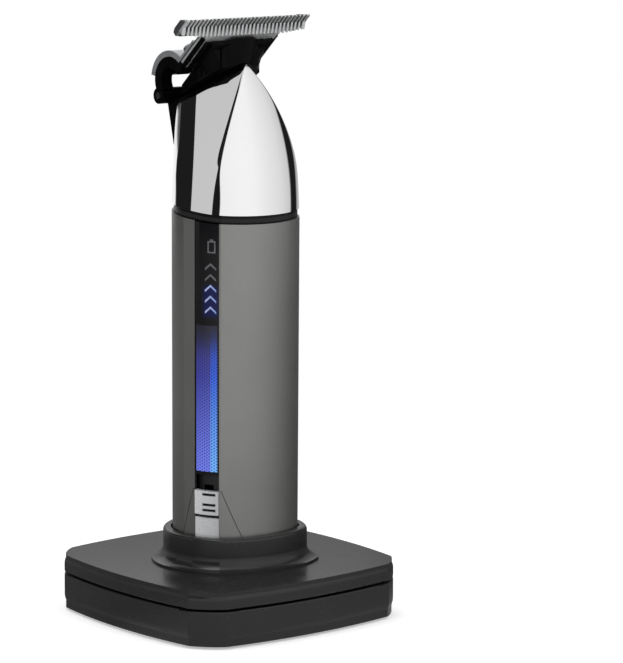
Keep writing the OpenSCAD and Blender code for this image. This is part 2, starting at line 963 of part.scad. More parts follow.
module fixed_blade() {
    color("#cfd2d5")
    blade_frame() difference() {
        intersection() {
            blade_prism(blade_w + 2) polygon([
                [0, 0],
                [bevel_s, 0],
                [bevel_e, -blade_under],
                [shank_e, -blade_under],
                [shank_e, blade_t],
                [0, blade_t]
            ]);
            translate([0, 0, -reach / 2]) linear_extrude(height = reach) polygon([
                [-blade_w / 2, 0],
                [blade_w / 2, 0],
                [blade_w / 2, wing_s],
                [shank_w / 2, shank_s],
                [shank_w / 2, shank_e],
                [-shank_w / 2, shank_e],
                [-shank_w / 2, shank_s],
                [-blade_w / 2, wing_s]
            ]);
        }
        for (i = [0:slot_n - 1]) translate([(i - (slot_n - 1) / 2) * slot_pitch, 0, 0]) {
            blade_box(slot_w, -1, slot_s, -5, 5);
            blade_prism(slot_w) polygon([
                [slot_s - 0.2, rib_d],
                [bevel_s + 0.2, rib_d],
                [bevel_e + 0.4, rib_d - blade_under],
                [bevel_e + 0.4, -5],
                [slot_s - 0.2, -5]
            ]);
        }
        drive_window(fork_s, shank_e + 5);
        blade_screw_spots() translate([0, 0, -5]) cylinder(h = 10, r = blade_screw_r);
    }
}

module cutter() {
    pitch = cutter_w / (cut_n + 0.6);
    color("#a9adb2")
    blade_frame() difference() {
        union() {
            blade_prism(cutter_w) polygon([
                [0.7, cutter_t0],
                [cutter_e, cutter_t0],
                [cutter_e, cutter_t1],
                [2.2, cutter_t1],
                [0.7, cutter_t0 + 0.4]
            ]);
            blade_box(fork_w, cutter_e - 0.5, fork_e, cutter_t0, cutter_t1);
        }
        blade_box(fork_gap, fork_s, fork_e + 5, -5, 5);
        for (i = [0:cut_n - 1])
            translate([(i - (cut_n - 1) / 2) * pitch - 0.45, -1, -5]) cube([0.9, 5.2, 10]);
    }
}

module tension_spring() {
    color("#b4b7bb")
    blade_frame() difference() {
        union() {
            blade_box(arm_w, 5.5, 9.5, spring_t0, spring_t1);
            blade_pair(leg_in, arm_w / 2, 9, 15.5, spring_t0, spring_t1);
            blade_pair(leg_in, arm_w / 2, 15, shank_e, spring_t0, spring_t1);
        }
        blade_screw_spots() translate([0, 0, -5]) cylinder(h = 10, r = blade_screw_r);
    }
}

// ring around the hook arm's middle between two radii, from angle a to angle b
module arm_ring(r0, r1, a, b) {
    translate([arm_y, arm_z]) intersection() {
        difference() {
            circle(r = r1);
            circle(r = r0);
        }
        polygon([
            [0, 0],
            [reach * cos(a), reach * sin(a)],
            [reach * cos((2 * a + b) / 3), reach * sin((2 * a + b) / 3)],
            [reach * cos((a + 2 * b) / 3), reach * sin((a + 2 * b) / 3)],
            [reach * cos(b), reach * sin(b)]
        ]);
    }
}

module back_plate() {
    color("#c3c6c9")
    difference() {
        union() {
            blade_frame() blade_box(arm_w, 12.5, shank_e + 2, spring_t1, back_t);
            yz_prism(arm_w) arm_ring(band_r0, band_r1, 8, 128);
        }
        translate([0, axis_y + motor_d, hinge_z])
            cylinder(h = reach, r = throw + drive_r + 1.1);
        blade_frame() blade_screw_spots() translate([0, 0, -5]) cylinder(h = 10, r = blade_screw_r);
    }
}

module hook_arm() {
    color("#1b1c1e")
    difference() {
        union() {
            blade_frame()
                blade_pair(leg_in, arm_w / 2, 13, shank_e + 5, blade_t, spring_t0);
            yz_prism(arm_w) arm_ring(arm_r0, arm_r1, 25, 80);
            difference() {
                yz_prism(arm_w) union() {
                    arm_ring(arm_r0, arm_r1, -36, 150);
                    translate([hinge_d, hinge_z]) circle(r = knuckle_r);
                }
                translate([-leg_in, -reach, 0]) cube([2 * leg_in, 2 * reach, 3 * reach]);
            }
        }
        translate([0, axis_y + hinge_d, hinge_z])
            rotate([0, 90, 0]) cylinder(h = 2 * arm_w, r = pin_r + pin_play, center = true);
        blade_frame() blade_screw_spots() translate([0, 0, -5]) cylinder(h = 10, r = blade_screw_r);
    }
}

module blade_screws() {
    color("#9b9ea2")
    blade_frame() blade_screw_spots() difference() {
        union() {
            translate([0, 0, -cover_t + 0.7]) cylinder(h = cover_t + back_t, r = blade_screw_r);
            translate([0, 0, back_t]) cylinder(h = 1, r = blade_head_r);
        }
        for (a = [0, 90]) rotate([0, 0, a])
            translate([-1.2, -0.2, back_t + 0.4]) cube([2.4, 0.4, 2]);
    }
}

dock_lower();
dock_upper();
dock_feet();
dock_screws();
ballast();
charge_board();
charge_pins();
power_inlet();
end_cap();
contact_plates();
sleeve();
apron();
shoe_plate();
chassis();
battery();
main_board();
led_row();
light_guide();
window();
light_bar();
chevrons_lit();
chevrons_dim();
switch_bed();
switch_block();
slider();
joint_ring();
nose();
motor();
crank();
hinge_bracket();
hinge_pin();
carrier();
fixed_blade();
cutter();
tension_spring();
back_plate();
hook_arm();
blade_screws();
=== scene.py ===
import math

import bpy
import bmesh
import numpy as np
from mathutils import Matrix, Vector


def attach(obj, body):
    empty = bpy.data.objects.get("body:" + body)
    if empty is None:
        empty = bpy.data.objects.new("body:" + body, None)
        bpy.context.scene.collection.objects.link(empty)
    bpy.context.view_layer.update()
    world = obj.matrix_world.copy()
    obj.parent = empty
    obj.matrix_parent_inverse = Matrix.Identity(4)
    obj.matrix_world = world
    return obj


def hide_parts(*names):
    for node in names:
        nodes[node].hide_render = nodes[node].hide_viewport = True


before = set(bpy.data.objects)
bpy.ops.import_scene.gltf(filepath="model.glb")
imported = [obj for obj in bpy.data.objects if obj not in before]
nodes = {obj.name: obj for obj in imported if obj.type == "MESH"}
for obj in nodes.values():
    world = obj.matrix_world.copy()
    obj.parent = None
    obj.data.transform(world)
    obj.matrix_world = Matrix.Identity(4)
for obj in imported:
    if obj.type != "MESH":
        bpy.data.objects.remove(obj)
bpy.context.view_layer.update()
scene = bpy.context.scene

MM = 0.001
PER_M = 1000.0

# Sizes of the part's source, in millimetres and radians
AXIS_Y = -4.0
JOINT_Z = 118.0
JOINT_LEAN = math.radians(5.0)
BACK_D = 1.0
BACK_OVER = 0.25
FRONT_R = 24.3
FRONT_D = 14.6
FRONT_C = FRONT_R - FRONT_D
SIDE_D = 17.5
SIDE_TURN = math.radians(82.0)
BACK_R = SIDE_D + math.cos(SIDE_TURN) * BACK_D + BACK_OVER
TAPER = 0.2
NOSE_H = 40.6
NOSE_TIP_D = 3.4
NOSE_DRAFT = math.radians(2.4)
NOSE_WALL = 1.4
ARCH_LOW = 8.0
RIM_DROP = math.radians(31.0)
TIP_CUT = 0.35
RIM_TOP = NOSE_H - TIP_CUT
BLADE_LEAN = math.radians(42.0)
TIP_D = 5.2
TIP_RISE = 12.4
TIP_Z = JOINT_Z + NOSE_H + TIP_RISE
BLADE_W = 43.7
SLOT_W = 0.7
SLOT_N = 31
END_EXTRA = 0.7  # how far the two end teeth together pass one pitch, in pitches
SLOT_PITCH = (BLADE_W - SLOT_W) / (SLOT_N + END_EXTRA)
RIDGE_TURN = SIDE_TURN - math.acos((SIDE_D + math.cos(SIDE_TURN) * FRONT_C) / FRONT_R)
STRIP_TURN = (SIDE_TURN + RIDGE_TURN) / 2
RIDGE_X = FRONT_R * math.sin(STRIP_TURN - RIDGE_TURN) - FRONT_C * math.sin(STRIP_TURN)
STRIP_MID = -1.3
SLIDER_Z = 32.0
SLIDER_L = 6.8
SLIDER_W = 7.6
GROOVE_MID = STRIP_MID + 0.12 * SLIDER_W
GROOVE_HALF = 0.53 * SLIDER_W / 2
GROOVES = [SLIDER_Z + share * SLIDER_L for share in (0.2, 0.43, 0.86)]

# Sizes of the pieces made here, in millimetres
RIDGE_SOFT = 0.27
RIDGE_SOFT_FOOT = 0.1
FLANK_SOFT = 0.4
NEARLY_NONE = 1e-6
FAR = 1e3
LIP_IN = 0.35
LIP_RISE = 0.04
CARRIER_UNDER = -2.3
CHEEK_GAP = 0.45
NECK_GAP = 0.25

# Where the finishes change, mostly from and to, in millimetres and radians
LIP_W = 1.5
LIP_RUN = (-3.0, 0.5)
FLAT_HEIGHTS = (11.0, 18.0)
FLAT_TURNS = (math.radians(52.0), math.radians(61.0))
HIGH_HEIGHTS = (8.0, 20.0)
LOW_BAND = (0.0, 1.2)
LOW_BAND_END = (4.2, 6.2)
HIGH_BAND = (5.0, 8.0)
RIM_ROLL = (RIM_TOP - 2.6, RIM_TOP - 0.6)
GLOW = (44.0, 86.0)
GLOW_END = (76.0, 86.0)
GLOW_SIDES = (-0.15, 0.15)
LIT_START = (87.6, 89.4)
LIT_END = (95.6, 98.2)
LIT_NEAR = (1.2, 3.2)
MARK_SIDES = (-1.7, 1.7)
# Across the trim, from the edge that its painted light makes lightest to the other edge
TRIM_SIDES = (-5.2, 2.6)
# Down the blade from the tooth tips: where the painted shade in the tooth gaps fades, then where it ends
GAP_FADE = (3.4, 5.2)
GAP_END = (6.6, 7.4)

# Camera fitted to the photograph, in radians, metres and pixels
CAMERA_AZIMUTH = math.radians(-39.34)
CAMERA_ELEVATION = math.radians(8.96)
CAMERA_ROLL = 0.00524
CAMERA_PLACE = Vector((-0.6086, -0.7802, 0.2374))
CAMERA_SHIFT_RIGHT = -0.00037
CAMERA_SHIFT_UP = 0.00013
FOCAL_PIXELS = 3515
PHOTO_PIXELS = 663
SENSOR = 36.0

# Stage, in metres
FLOOR_HALF = 4.0
FLOOR_FADE = (0.07, 0.16)
TENT_R = 0.22
TENT_FOOT = 0.0005
TENT_TOP = 0.5
TENT_SHADE = (0.0, 0.07)
NOSE_ROW_START = (0.080, 0.086)
TOP_ROW_START = (0.24, 0.27)

# Range that noise fills
NOISE_LOW = 0.3
NOISE_HIGH = 0.7

# Colours that several materials share
BLACK = (0.004, 0.004, 0.004, 1.0)
WHITE = (1.0, 1.0, 1.0, 1.0)


class Graph:
    """Small helper around one material's node tree."""

    def __init__(self, name):
        self.mat = bpy.data.materials.new(name)
        self.mat.use_nodes = True
        self.tree = self.mat.node_tree
        self.shader = self.tree.nodes["Principled BSDF"]
        self.out = self.tree.nodes["Material Output"]
        self.coord = self.add("ShaderNodeTexCoord").outputs["Object"]

    def add(self, kind, **props):
        node = self.tree.nodes.new(kind)
        for key, value in props.items():
            setattr(node, key, value)
        return node

    def link(self, a, b):
        self.tree.links.new(a, b)

    def put(self, value, socket):
        """Link an output to the socket, or set the socket to a number or colour."""
        if hasattr(value, "is_linked"):
            self.link(value, socket)
        else:
            socket.default_value = value

    def give(self, **values):
        """Set the shader's sockets, each named with _ for a space."""
        for name, value in values.items():
            self.put(value, self.shader.inputs[name.replace("_", " ")])

    def math(self, op, a, b=0.0):
        node = self.add("ShaderNodeMath", operation=op)
        self.put(a, node.inputs[0])
        self.put(b, node.inputs[1])
        return node.outputs[0]

    def plus(self, a, b):
        return self.math("ADD", a, b)

    def minus(self, a, b):
        return self.math("SUBTRACT", a, b)

    def times(self, a, b):
        return self.math("MULTIPLY", a, b)

    def largest(self, a, b):
        return self.math("MAXIMUM", a, b)

    def along(self, vector):
        """Distance along a vector, from the object's coordinates."""
        node = self.add("ShaderNodeVectorMath", operation="DOT_PRODUCT")
        self.link(self.coord, node.inputs[0])
        node.inputs[1].default_value = vector
        return node.outputs["Value"]

    def vector(self, op, a, b=None):
        node = self.add("ShaderNodeVectorMath", operation=op)
        self.link(a, node.inputs[0])
        if b is not None:
            self.link(b, node.inputs[1])
        return node

    def join(self, **parts):
        node = self.add("ShaderNodeCombineXYZ")
        for name, value in parts.items():
            self.link(value, node.inputs[name])
        return node.outputs[0]

    def split(self, vector):
        node = self.add("ShaderNodeSeparateXYZ")
        self.link(vector, node.inputs[0])
        return node.outputs

    def scaled(self, scale):
        node = self.add("ShaderNodeMapping")
        self.link(self.coord, node.inputs["Vector"])
        node.inputs["Scale"].default_value = scale
        return node.outputs["Vector"]

    def noise(self, scale, detail=3.0, rough=0.5, stretch=None):
        node = self.add("ShaderNodeTexNoise")
        self.link(self.scaled(stretch) if stretch else self.coord, node.inputs["Vector"])
        node.inputs["Scale"].default_value = scale
        node.inputs["Detail"].default_value = detail
        node.inputs["Roughness"].default_value = rough
        return node.outputs["Fac"]

    def spread(self, value, lo, hi, from_lo=NOISE_LOW, from_hi=NOISE_HIGH, smooth=False):
        """Value mapped to lo..hi; by default it is noise."""
        node = self.add("ShaderNodeMapRange")
        node.interpolation_type = "SMOOTHSTEP" if smooth else "LINEAR"
        self.link(value, node.inputs["Value"])
        node.inputs["From Min"].default_value = from_lo
        node.inputs["From Max"].default_value = from_hi
        node.inputs["To Min"].default_value = lo
        node.inputs["To Max"].default_value = hi
        return node.outputs["Result"]

    def rise(self, value, start, end, top=1.0):
        """0 up to the start, smoothly rising to the top at the end."""
        return self.spread(value, 0.0, top, start, end, True)

    def fall(self, value, start, end, foot=0.0):
        """1 up to the start, smoothly falling to the foot at the end."""
        return self.spread(value, 1.0, foot, start, end, True)

    def band(self, value, middle, half, soft):
        """1 within half of the middle, falling to 0 over the soft width."""
        gap = self.math("ABSOLUTE", self.minus(value, middle))
        return self.fall(gap, half - soft / 2, half + soft / 2)

    def ramp(self, value, stops):
        """Colour by value, through stops of place and colour."""
        node = self.add("ShaderNodeValToRGB")
        self.link(value, node.inputs["Fac"])
        ramp = node.color_ramp
        while len(ramp.elements) < len(stops):
            ramp.elements.new(0.5)
        for element, (pos, colour) in zip(ramp.elements, stops):
            element.position = pos
            element.color = (*colour, 1.0)
        return node.outputs["Color"]

    def blend(self, noise, a, b):
        """Colour that noise moves between a and b."""
        return self.ramp(noise, [(NOISE_LOW, a), (NOISE_HIGH, b)])

    def clouded(self, noise, base, vary):
        """Base colour that noise makes a little darker and lighter."""
        return self.blend(noise, shade(base, 1 - vary), shade(base, 1 + vary))

    def mix(self, factor, a, b):
        node = self.add("ShaderNodeMix", data_type="RGBA")
        self.put(factor, node.inputs["Factor"])
        self.put(a, node.inputs["A"])
        self.put(b, node.inputs["B"])
        return node.outputs["Result"]

    def bump(self, height, strength, distance, normal=None):
        """Fine relief on the shader, over its own normal or a given one."""
        node = self.add("ShaderNodeBump")
        self.link(height, node.inputs["Height"])
        if normal:
            self.link(normal, node.inputs["Normal"])
        node.inputs["Strength"].default_value = strength
        node.inputs["Distance"].default_value = distance
        self.link(node.outputs["Normal"], self.shader.inputs["Normal"])

    def height(self):
        """Height above the table in millimetres."""
        return self.along((0, 0, PER_M))


def rgb(hexa):
    """Linear colour of a written sRGB hex value."""
    out = []
    for i in (1, 3, 5):
        c = int(hexa[i:i + 2], 16) / 255
        out.append(c / 12.92 if c <= 0.04045 else ((c + 0.055) / 1.055) ** 2.4)
    return tuple(out)


def rgba(hexa):
    """Linear colour with full cover."""
    return (*rgb(hexa), 1.0)


def shade(colour, k):
    """Colour k times as bright, held at white."""
    return tuple(min(1.0, c * k) for c in colour)


# Plain finishes
def plastic(name, hexa, rough=0.5, grain=5200.0, depth=0.00003, vary=0.12, specular=0.5, coat=0.0):
    """Moulded plastic: fine spark-eroded grain, slight cloudiness in colour and gloss."""
    g = Graph(name)
    cloud = g.noise(120.0, 4.0)
    fine = g.noise(grain, 2.0)
    g.give(
        Base_Color=g.clouded(cloud, rgb(hexa), vary),
        Roughness=g.spread(cloud, rough - 0.05, rough + 0.05),
        Specular_IOR_Level=specular,
        Coat_Weight=coat,
        Coat_Roughness=0.08,
    )
    g.bump(fine, 0.35, depth)
    return g.mat


def metal(name, hexa, rough=0.2, stretch=(1, 1, 1), grain=900.0, depth=0.000012, vary=0.05,
          strength=0.3, spread=0.06, share=1.0):
    """Worked metal: fine lines of its finish in gloss and relief, faint smudges in colour."""
    g = Graph(name)
    lines = g.noise(grain, 3.0, 0.6, stretch)
    smudge = g.noise(70.0, 4.0)
    g.give(
        Base_Color=g.clouded(smudge, rgb(hexa), vary),
        Roughness=g.spread(lines, max(0.01, rough - spread), rough + spread),
        Metallic=share,
    )
    g.bump(lines, strength, depth)
    return g.mat


def gunmetal():
    """Satin body metal with faint lengthwise lines."""
    g = Graph("gunmetal_satin")
    fine = g.noise(2600.0, 2.0, 0.6)
    lines = g.noise(520.0, 3.0, 0.65, (6.0, 6.0, 0.5))
    smudge = g.noise(34.0, 3.0)
    g.give(
        Base_Color=g.clouded(smudge, rgb("#8b8b89"), 0.05),
        Roughness=g.spread(lines, 0.36, 0.46),
        Metallic=1.0,
        Anisotropic=0.3,
    )
    g.bump(g.plus(g.times(fine, 0.6), lines), 0.25, 0.000012)
    return g.mat


# Plating of the nose
def nose_places(g):
    """Distance behind the axis, height above the joint, and height measured along the sloping rim."""
    y = g.minus(g.along((0, PER_M, 0)), AXIS_Y)
    z = g.minus(g.height(), JOINT_Z)
    rim = g.plus(g.times(g.plus(y, NOSE_TIP_D), math.tan(RIM_DROP)), z)
    return y, z, rim


def nose_black_parts(g, normal, y, rim):
    """1 on the inner wall, the top of the rim and a band below the rim, which are coloured black and not
    metal.
    """
    outward = g.join(X=g.along((PER_M, 0, 0)), Y=y)
    facing = g.vector("DOT_PRODUCT", outward, normal).outputs["Value"]
    inner = g.math("LESS_THAN", facing, 0.0)
    facing_up = 0.7
    top = g.math("GREATER_THAN", g.split(normal)["Z"], facing_up)
    lip_w = g.spread(y, 0.0, LIP_W, *LIP_RUN)
    lip = g.math("GREATER_THAN", g.plus(rim, lip_w), RIM_TOP)
    return g.largest(g.largest(inner, top), lip)


def flat_sides(g, normal, low):
    """Wall normal set upright and, low down, turned to the flank's own direction beside the ridge."""
    slope_left = 0.4
    x, y, z = g.split(normal)
    reach = g.math("SQRT", g.plus(g.times(x, x), g.times(y, y)))
    turn = g.math("ARCTAN2", g.math("ABSOLUTE", x), g.times(y, -1.0))
    part = g.times(low, g.rise(turn, *FLAT_TURNS))
    rest = g.largest(g.minus(SIDE_TURN, turn), 0.0)
    turn = g.plus(turn, g.times(rest, part))
    across = g.times(g.math("SINE", turn), reach)
    return g.join(
        X=g.times(across, g.math("SIGN", x)),
        Y=g.times(g.math("COSINE", turn), g.times(reach, -1.0)),
        Z=g.times(z, slope_left),
    )


def rear_turn(g, y, z, rim):
    """Turn of the normal to the rear behind the curved edge of the flank, and up over the rim's roll."""
    edge_front, edge_bend, roll_back = -1.6, 0.0098, 0.7
    edge = g.minus(y, g.plus(g.times(g.times(z, z), edge_bend), edge_front))
    high = g.rise(z, *HIGH_HEIGHTS)
    fade = g.times(g.rise(edge, *LOW_BAND_END), g.minus(1.0, high))
    rear = g.times(g.rise(edge, *LOW_BAND, top=0.2), g.minus(1.0, fade))
    rear = g.plus(rear, g.times(high, g.rise(edge, *HIGH_BAND, top=0.4)))
    roll = g.rise(rim, *RIM_ROLL, top=0.5)
    return g.join(Y=g.plus(rear, g.times(roll, roll_back)), Z=roll)


def nose_mirror():
    """Polished plating outside, black and not metal on the inner wall, the top of the rim and a band below
    it.
    """
    g = Graph("nose_mirror")
    haze = g.noise(70.0, 4.0)
    orange = g.noise(240.0, 3.0, 0.6)
    base = rgb("#f6f6f7")
    plating = g.blend(haze, shade(base, 0.985), base)
    normal = g.add("ShaderNodeNewGeometry").outputs["Normal"]
    y, z, rim = nose_places(g)
    black_part = nose_black_parts(g, normal, y, rim)
    g.give(
        Base_Color=g.mix(black_part, plating, BLACK),
        Roughness=g.spread(haze, 0.03, 0.06),
        Metallic=g.minus(1.0, black_part),
        Specular_IOR_Level=0.08,
    )
    upright = flat_sides(g, normal, g.fall(z, *FLAT_HEIGHTS))
    bent = g.vector("ADD", upright, rear_turn(g, y, z, rim)).outputs[0]
    unit = g.vector("NORMALIZE", bent).outputs[0]
    g.bump(orange, 0.05, 0.000002, unit)
    return g.mat


# Display strip and slider
def strip_across(g):
    """Distance across the display strip from the front ridge, in millimetres."""
    c = math.cos(STRIP_TURN)
    s = math.sin(STRIP_TURN)
    return g.plus(g.along((PER_M * c, -PER_M * s, 0)), s * AXIS_Y - RIDGE_X)


def honeycomb(g, u, z):
    """Light through rows of round holes, every second column set half a hole higher."""
    col, row = 0.74, 0.84
    column = g.math("DIVIDE", u, col)
    odd = g.math("FLOORED_MODULO", g.math("FLOOR", column), 2.0)
    level = g.plus(g.math("DIVIDE", z, row), g.times(odd, 0.5))
    du = g.times(g.minus(g.math("FRACT", column), 0.5), col)
    dz = g.times(g.minus(g.math("FRACT", level), 0.5), row)
    squared = g.plus(g.times(du, du), g.times(dz, dz))
    return g.spread(squared, 0.25, 1.0, 0.02, 0.09, True)


def light_bar_material():
    """Blue light shining through a fine honeycomb of holes, stronger low down and on one side."""
    g = Graph("light_bar_mesh")
    u = strip_across(g)
    z = g.height()
    low = g.spread(z, 1.0, 0.0, *GLOW)
    fade = g.fall(z, *GLOW_END)
    violet = g.ramp(low, [(0.0, rgb("#20204a")), (0.35, rgb("#33379a")), (1.0, rgb("#6d7bee"))])
    blue = g.ramp(low, [(0.0, rgb("#182a80")), (0.35, rgb("#1c56d8")), (1.0, rgb("#6cb2ff"))])
    g.give(
        Base_Color=(0.008, 0.008, 0.02, 1.0),
        Roughness=0.25,
        Emission_Color=g.mix(g.rise(u, *GLOW_SIDES), violet, blue),
        Emission_Strength=g.times(honeycomb(g, u, z), g.plus(g.times(fade, 0.95), 0.05)),
    )
    return g.mat


def window_material():
    """Gloss black window; the lit marks glow into it."""
    g = Graph("window_piano_black")
    z = g.height()
    wave = g.noise(60.0, 2.0)
    near = g.fall(g.math("ABSOLUTE", strip_across(g)), *LIT_NEAR)
    lit_rows = g.times(g.rise(z, *LIT_START), g.fall(z, *LIT_END))
    g.give(
        Base_Color=g.blend(wave, (0.004, 0.004, 0.005), (0.008, 0.008, 0.009)),
        Roughness=g.spread(wave, 0.10, 0.16),
        Specular_IOR_Level=0.18,
        Emission_Color=rgba("#1030c8"),
        Emission_Strength=g.times(g.times(near, lit_rows), 0.09),
    )
    return g.mat


def lit_material():
    """Lit mark, paler on its left."""
    g = Graph("mark_lit")
    wave = g.noise(1500.0, 2.0)
    across = g.spread(strip_across(g), 0.0, 1.0, *MARK_SIDES)
    g.give(
        Base_Color=rgba("#3a4468"),
        Roughness=0.35,
        Emission_Color=g.ramp(across, [(0.0, rgb("#c9d3fb")), (1.0, rgb("#8aa6ee"))]),
        Emission_Strength=g.spread(wave, 0.52, 0.62),
    )
    return g.mat


def dim_material():
    """Unlit mark printed in grey."""
    g = Graph("mark_dim")
    wave = g.noise(900.0, 2.0)
    g.give(
        Base_Color=g.blend(wave, rgb("#55565a"), rgb("#6a6b70")),
        Roughness=g.spread(wave, 0.3, 0.4),
    )
    return g.mat


def trim_silver(name, grooves):
    """Bright drawn trim with painted light making it lighter along one edge, and painted shade making its
    finger grooves black at the given heights.
    """
    g = Graph(name)
    u = strip_across(g)
    z = g.height()
    lines = g.noise(900.0, 2.0, 0.5, (1.0, 1.0, 8.0))
    # Painted light: the trim's colour grows lighter toward one edge.
    across = g.spread(u, 0.0, 1.0, *TRIM_SIDES)
    silver_with_painted_light = g.ramp(across, [(0.0, rgb("#f4f4f5")), (0.45, rgb("#dcdddf")), (1.0, rgb("#c2c4c6"))])
    # Painted shade: the finger grooves are made black within this width, at each groove's height.
    width = g.band(u, GROOVE_MID, GROOVE_HALF, soft=0.3)
    line = 0.0
    for height in grooves:
        line = g.largest(line, g.band(z, height, half=0.36, soft=0.2))
    g.give(
        Base_Color=g.mix(g.times(width, line), silver_with_painted_light, (0.006, 0.006, 0.006, 1.0)),
        Roughness=g.spread(lines, 0.26, 0.34),
        Metallic=0.3,
        Specular_IOR_Level=0.3,
    )
    g.bump(lines, 0.06, 0.000002)
    return g.mat


def ring_black():
    """Black ring with a slightly lighter band round its middle."""
    g = Graph("ring_satin_black")
    slope = math.tan(JOINT_LEAN)
    below = g.plus(g.along((0, -PER_M * slope, PER_M)), AXIS_Y * slope - JOINT_Z)
    middle = g.band(below, middle=-1.45, half=0.55, soft=0.2)
    fine = g.noise(3800.0, 2.0)
    g.give(
        Base_Color=g.mix(middle, rgba("#060607"), rgba("#242425")),
        Roughness=g.spread(fine, 0.3, 0.4),
        Specular_IOR_Level=0.16,
    )
    g.bump(fine, 0.3, 0.00001)
    return g.mat


# Blade
def tooth_gap_shade(g):
    """Painted shade in the grooves between the teeth: 1 there, darkest toward the tips and gone below the
    bevel.
    """
    x = g.along((PER_M, 0, 0))
    place = g.plus(g.math("DIVIDE", x, SLOT_PITCH), 0.5)
    off = g.math("ABSOLUTE", g.minus(g.math("FRACT", place), 0.5))
    within = g.math("LESS_THAN", g.math("ABSOLUTE", x), SLOT_N / 2 * SLOT_PITCH)
    groove = g.times(g.fall(off, 0.2, 0.34), within)
    c = math.cos(BLADE_LEAN)
    s = math.sin(BLADE_LEAN)
    down = g.plus(g.along((0, PER_M * c, -PER_M * s)), c * (TIP_D - AXIS_Y) + s * TIP_Z)
    return g.times(groove, g.times(g.fall(down, *GAP_FADE, foot=0.12), g.fall(down, *GAP_END)))


def blade_steel():
    """Ground steel with shade painted black into the gaps between its teeth."""
    g = Graph("blade_ground")
    lines = g.noise(900.0, 3.0, 0.6, (0.6, 8.0, 8.0))
    smudge = g.noise(70.0, 4.0)
    # Painted shade: in the gaps between the teeth the steel is made black, with no metal and little shine.
    gap_shade = tooth_gap_shade(g)
    g.give(
        Base_Color=g.mix(gap_shade, g.clouded(smudge, rgb("#cfd0d1"), 0.04), BLACK),
        Roughness=g.spread(lines, 0.28, 0.44),
        Metallic=g.spread(gap_shade, 0.7, 0.0, 0.0, 1.0),
        Specular_IOR_Level=g.spread(gap_shade, 0.5, 0.05, 0.0, 1.0),
    )
    g.bump(lines, 0.3, 0.00001)
    return g.mat


CROSSWISE = (0.6, 8, 8)
LENGTHWISE = (5, 0.6, 0.6)
MATERIALS = {
    "dock": plastic("dock_soft_grey", "#202020", rough=0.24, grain=4200, depth=2e-5, vary=0.05, specular=0.4),
    "rubber": plastic("foot_rubber", "#161617", rough=0.75, grain=2600, depth=5e-5, vary=0.15, specular=0.25),
    "screw": metal("screw_zinc", "#9a9da2", rough=0.3, stretch=(1, 1, 4), grain=1500),
    "iron": metal("ballast_iron", "#5c5e61", rough=0.55, grain=700, depth=6e-5, vary=0.15, strength=0.6,
                  spread=0.1),
    "board": plastic("board_mask", "#17542f", rough=0.35, grain=1600, depth=2e-5, vary=0.2),
    "gold": metal("contact_gold", "#d9b064", rough=0.22, grain=1400),
    "inlet": plastic("inlet_moulded", "#1b1c1d", rough=0.45),
    "cap": plastic("cap_moulded", "#202123", rough=0.45),
    "gunmetal": gunmetal(),
    "trim": trim_silver("trim_silver", []),
    "slider": trim_silver("slider_silver", GROOVES),
    "inner": plastic("inner_moulded", "#0d0d0e", rough=0.4, grain=3600, vary=0.2, specular=0.4),
    "cell": plastic("cell_wrap", "#2c5f86", rough=0.25, grain=900, depth=1e-5, vary=0.1, coat=0.3),
    "led": plastic("led_resin", "#e6dda6", rough=0.3, grain=1200, depth=1e-5, vary=0.05),
    "guide": plastic("guide_frosted", "#c3cfe4", grain=2600, depth=2e-5, vary=0.05),
    "window": window_material(),
    "bar": light_bar_material(),
    "lit": lit_material(),
    "dim": dim_material(),
    "ring": ring_black(),
    "nose": nose_mirror(),
    "motor": metal("motor_can", "#8d9095", rough=0.35, stretch=(3, 3, 0.4), grain=700),
    "crank": metal("crank_ground", "#a9acb0", rough=0.25, stretch=(1, 1, 5), grain=1300),
    "bracket": plastic("bracket_moulded", "#080809", rough=0.3, grain=3200, depth=2e-5, vary=0.15,
                       specular=0.1),
    "carrier": plastic("carrier_moulded", "#060607", rough=0.3, grain=3000, depth=2e-5, vary=0.15,
                       specular=0.05),
    "blade": blade_steel(),
    "cutter": metal("cutter_ground", "#1e1f21", rough=0.45, stretch=CROSSWISE, depth=2e-5, strength=0.4,
                    spread=0.08, share=0.5),
    "block": metal("block_ground", "#85878a", rough=0.33, stretch=(8, 0.6, 0.6), depth=2e-5, strength=0.4,
                   spread=0.08),
    "spring": metal("spring_rolled", "#b4b6b9", rough=0.22, stretch=LENGTHWISE),
    "plate": metal("plate_rolled", "#b4b6b9", rough=0.42, stretch=LENGTHWISE, depth=6e-6, vary=0.04,
                   strength=0.2, spread=0.05, share=0.8),
}
FINISH = {
    "dock_lower": "dock", "dock_upper": "dock", "dock_feet": "rubber", "dock_screws": "screw",
    "ballast": "iron", "charge_board": "board", "charge_pins": "gold", "power_inlet": "inlet",
    "end_cap": "cap", "contact_plates": "gold", "sleeve": "gunmetal", "apron": "gunmetal",
    "shoe_plate": "trim", "chassis": "inner", "battery": "cell", "main_board": "board",
    "led_row": "led", "light_guide": "guide", "window": "window", "light_bar": "bar",
    "chevrons_lit": "lit", "chevrons_dim": "dim", "switch_bed": "inner", "switch_block": "inner",
    "slider": "slider", "joint_ring": "ring", "nose": "nose", "motor": "motor", "crank": "crank",
    "hinge_bracket": "bracket", "hinge_pin": "crank", "carrier": "carrier", "fixed_blade": "blade",
    "cutter": "cutter", "tension_spring": "spring", "back_plate": "plate", "hook_arm": "bracket",
    "blade_screws": "screw",
}
for node_name, finish in FINISH.items():
    slots = nodes[node_name].data.materials
    slots.clear()
    slots.append(MATERIALS[finish])


